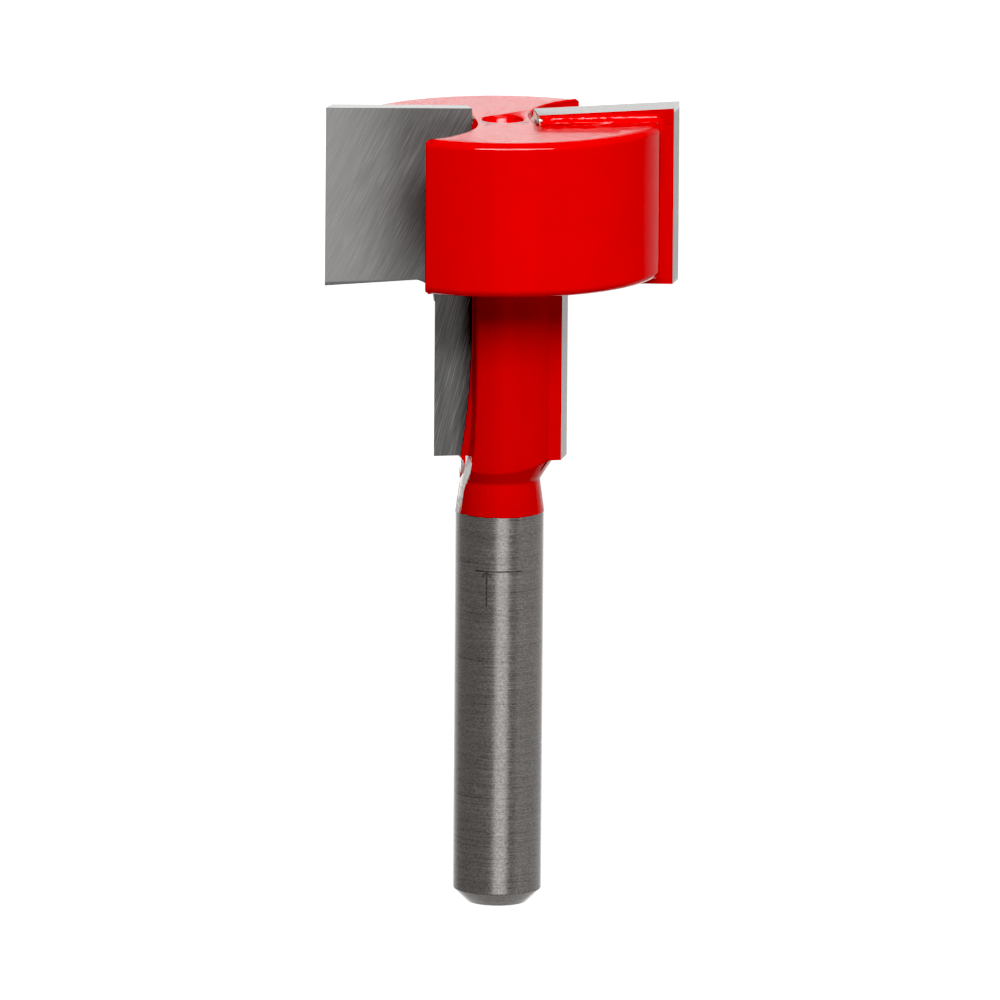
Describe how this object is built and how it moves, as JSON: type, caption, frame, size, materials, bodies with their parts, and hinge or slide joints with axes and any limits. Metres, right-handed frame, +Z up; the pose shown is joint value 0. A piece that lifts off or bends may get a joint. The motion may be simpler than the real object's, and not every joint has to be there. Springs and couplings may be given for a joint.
{
  "type": "t-slot router bit",
  "caption": "Router bit with a round shank, a necked stem and a wide two-lobed head, carrying brazed carbide cutters that mill a T-shaped slot.",
  "frame": {"origin": "middle of the bounding box's base, on the surface that the bit lies on", "axes": "+X along the bit towards its cutting end, the bit lying at rest; +Z up"},
  "size_m": [0.059, 0.021, 0.021],
  "materials": {
    "coated_steel": "glossy red coating on the cutting half, bare brushed steel on the shank",
    "carbide": "ground, with fine diagonal grinding lines",
    "solder": "silver solder, mostly under the coating"
  },
  "bodies": {
    "root": {"steel_body": "coated_steel", "large_cutter_1": "carbide", "large_cutter_2": "carbide", "small_cutter_1": "carbide", "small_cutter_2": "carbide", "large_braze_seam_1": "solder", "large_braze_seam_2": "solder", "small_braze_seam_1": "solder", "small_braze_seam_2": "solder"}
  },
  "joints": []
}
